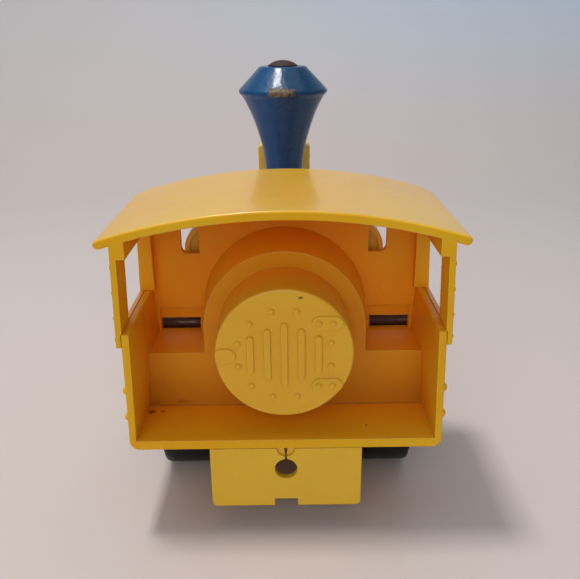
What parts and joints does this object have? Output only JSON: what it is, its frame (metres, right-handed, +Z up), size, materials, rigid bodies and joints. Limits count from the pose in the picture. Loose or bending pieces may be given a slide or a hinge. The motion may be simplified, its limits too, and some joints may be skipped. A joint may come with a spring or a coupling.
{
  "type": "toy steam locomotive",
  "caption": "Push-along toy steam locomotive with an open cab, riveted boiler, turned stack, headlamp, pilot and free-rolling wheels on steel axles.",
  "frame": {"origin": "on the ground, under the middle of the length and on the centre plane", "axes": "+Y forwards from the open cab to the pilot, +Z up, +X to the right when looking into the cab from behind"},
  "size_m": [0.102, 0.176, 0.1359],
  "materials": {
    "yellow_plastic": "aged glossy moulded plastic, yellow turning to orange in the shade",
    "blue_enamel": "glossy deep blue enamel over a turned stack, worn brown at the rim",
    "black_plastic": "satin black moulded plastic",
    "steel_rod": "drawn steel with light rust",
    "rusty_cap": "spring steel gone brown with rust",
    "screw_steel": "zinc-plated steel"
  },
  "bodies": {
    "locomotive": {"cab_tub": "yellow_plastic", "cab_canopy": "yellow_plastic", "backhead": "yellow_plastic", "boiler_shell": "yellow_plastic", "smokebox_front": "yellow_plastic", "headlamp": "yellow_plastic", "smokestack": "blue_enamel", "stack_rod": "steel_rod", "stack_cap": "rusty_cap", "stack_rod_retainer": "rusty_cap", "tie_rod": "steel_rod", "tie_rod_caps": "rusty_cap", "chassis_frame": "yellow_plastic", "running_board": "yellow_plastic", "front_pilot": "yellow_plastic", "chassis_screws": "screw_steel"},
    "rear_wheelset": {"rear_axle": "steel_rod", "rear_wheel_left": "black_plastic", "rear_wheel_right": "black_plastic", "rear_axle_caps": "rusty_cap"},
    "front_wheelset": {"front_axle": "steel_rod", "front_wheel_left": "black_plastic", "front_wheel_right": "black_plastic", "front_axle_caps": "rusty_cap"}
  },
  "joints": [
    {"name": "rear_axle_spin", "type": "hinge", "parent": "locomotive", "child": "rear_wheelset", "pos_m": [0, -0.0445, 0.019], "axis": [1, 0, 0], "continuous": true},
    {"name": "front_axle_spin", "type": "hinge", "parent": "locomotive", "child": "front_wheelset", "pos_m": [0, 0.03, 0.014], "axis": [1, 0, 0], "continuous": true}
  ]
}
